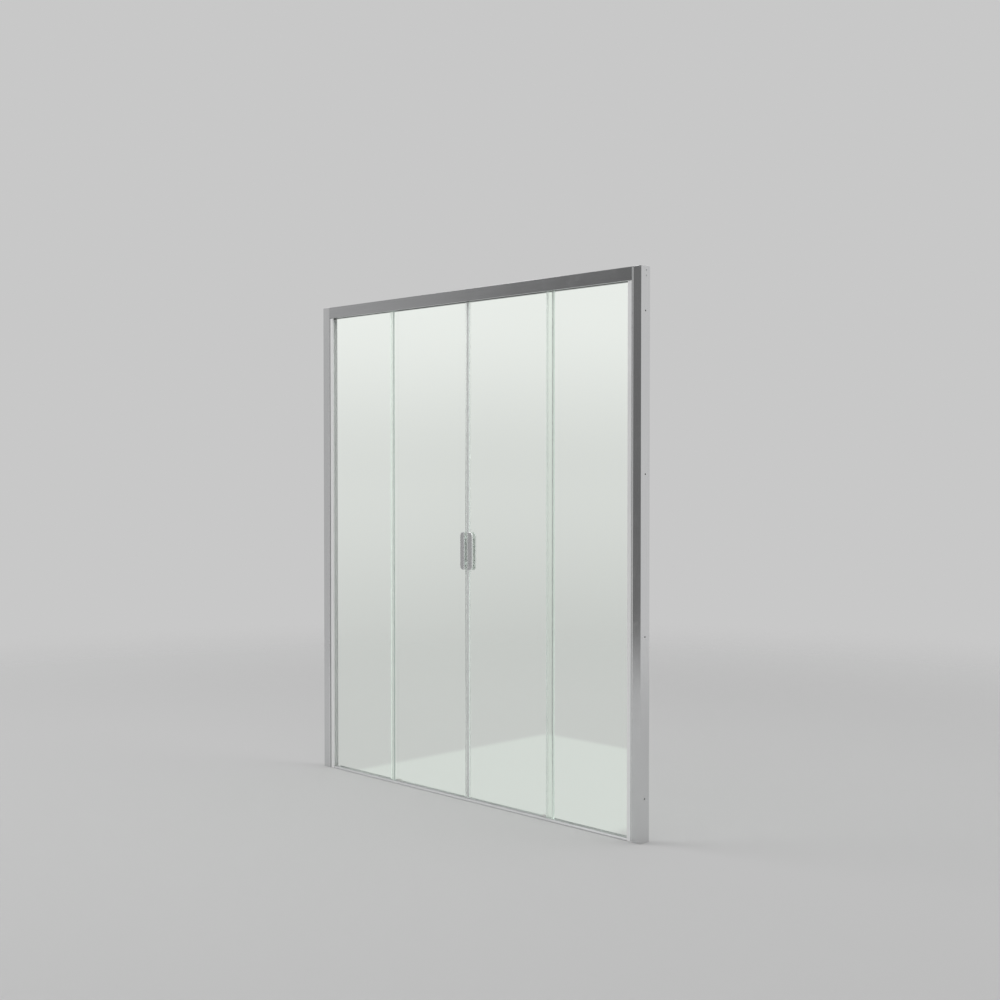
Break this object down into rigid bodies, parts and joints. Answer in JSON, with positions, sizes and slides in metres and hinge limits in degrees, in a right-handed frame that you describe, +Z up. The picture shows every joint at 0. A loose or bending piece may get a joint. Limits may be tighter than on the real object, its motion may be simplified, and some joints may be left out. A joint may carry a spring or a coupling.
{
  "type": "sliding shower screen",
  "caption": "Sliding shower screen in a polished metal frame: clear glass doors on grooved rollers part from the middle and run behind fixed side panels.",
  "frame": {"origin": "centre of the screen's underside, midway between the walls and between front and back faces", "axes": "+X to the right as seen from the room, +Y from the room into the shower, +Z up"},
  "size_m": [1.75, 0.046, 1.95],
  "materials": {
    "polished_aluminium": "polished",
    "satin_aluminium": "satin anodised",
    "chrome": "bright chrome plate",
    "clear_glass": "clear toughened, ground edges",
    "clear_seal": "clear flexible extrusion",
    "grey_rubber": "matt",
    "white_nylon": "moulded",
    "steel": "stainless",
    "zinc_casting": "die-cast, satin nickel",
    "magnet": "bonded magnet strip"
  },
  "bodies": {
    "frame": {"wall_profile_right": "polished_aluminium", "wall_profile_left": "polished_aluminium", "profile_cap_right": "polished_aluminium", "profile_cap_left": "polished_aluminium", "adjuster_profile_right": "satin_aluminium", "adjuster_profile_left": "satin_aluminium", "adjuster_screws": "steel", "top_rail": "polished_aluminium", "rail_bracket_right": "steel", "rail_bracket_left": "steel", "bracket_screws": "steel", "rail_screws": "steel", "fixed_glass_right": "clear_glass", "fixed_glass_left": "clear_glass", "glazing_gasket_right": "grey_rubber", "glazing_gasket_left": "grey_rubber", "rail_gasket_right": "grey_rubber", "rail_gasket_left": "grey_rubber", "fixed_edge_seal_right": "clear_seal", "fixed_edge_seal_left": "clear_seal", "threshold": "satin_aluminium", "setting_blocks": "grey_rubber", "sill_seals": "clear_seal", "door_guide_right": "white_nylon", "door_guide_left": "white_nylon", "guide_screws": "steel", "rail_stops": "steel", "stop_buffers": "grey_rubber"},
    "door_right": {"door_glass_right": "clear_glass", "magnet_seal_right": "clear_seal", "magnet_strip_right": "magnet", "door_rear_seal_right": "clear_seal", "handle_outer_right": "chrome", "handle_inner_right": "chrome", "handle_screws_right": "steel", "handle_bushes_right": "white_nylon", "carriage_inner_right": "zinc_casting", "carriage_outer_right": "zinc_casting", "clamp_bolts_right": "steel", "glass_bushes_right": "white_nylon", "wheel_axles_right": "steel", "wheel_bearings_right": "steel"},
    "wheel_inner_right": {"wheel_inner_right": "white_nylon"},
    "wheel_outer_right": {"wheel_outer_right": "white_nylon"},
    "door_left": {"door_glass_left": "clear_glass", "magnet_seal_left": "clear_seal", "magnet_strip_left": "magnet", "door_rear_seal_left": "clear_seal", "handle_outer_left": "chrome", "handle_inner_left": "chrome", "handle_screws_left": "steel", "handle_bushes_left": "white_nylon", "carriage_inner_left": "zinc_casting", "carriage_outer_left": "zinc_casting", "clamp_bolts_left": "steel", "glass_bushes_left": "white_nylon", "wheel_axles_left": "steel", "wheel_bearings_left": "steel"},
    "wheel_inner_left": {"wheel_inner_left": "white_nylon"},
    "wheel_outer_left": {"wheel_outer_left": "white_nylon"}
  },
  "joints": [
    {"name": "door_right_slide", "type": "slide", "parent": "frame", "child": "door_right", "axis": [1, 0, 0], "range_m": [0, 0.37]},
    {"name": "door_left_slide", "type": "slide", "parent": "frame", "child": "door_left", "axis": [-1, 0, 0], "range_m": [0, 0.37]},
    {"name": "wheel_inner_right_spin", "type": "hinge", "parent": "door_right", "child": "wheel_inner_right", "pos_m": [0.066, 0.0145, 1.92075], "axis": [0, 1, 0], "range_deg": [0, 2025]},
    {"name": "wheel_outer_right_spin", "type": "hinge", "parent": "door_right", "child": "wheel_outer_right", "pos_m": [0.393, 0.0145, 1.92075], "axis": [0, 1, 0], "range_deg": [0, 2025]},
    {"name": "wheel_inner_left_spin", "type": "hinge", "parent": "door_left", "child": "wheel_inner_left", "pos_m": [-0.066, 0.0145, 1.92075], "axis": [0, -1, 0], "range_deg": [0, 2025]},
    {"name": "wheel_outer_left_spin", "type": "hinge", "parent": "door_left", "child": "wheel_outer_left", "pos_m": [-0.393, 0.0145, 1.92075], "axis": [0, -1, 0], "range_deg": [0, 2025]}
  ],
  "couplings": [
    {"joint": "wheel_inner_right_spin", "follows": "door_right_slide", "rad_per_m": 95.238},
    {"joint": "wheel_outer_right_spin", "follows": "door_right_slide", "rad_per_m": 95.238},
    {"joint": "wheel_inner_left_spin", "follows": "door_left_slide", "rad_per_m": 95.238},
    {"joint": "wheel_outer_left_spin", "follows": "door_left_slide", "rad_per_m": 95.238}
  ]
}
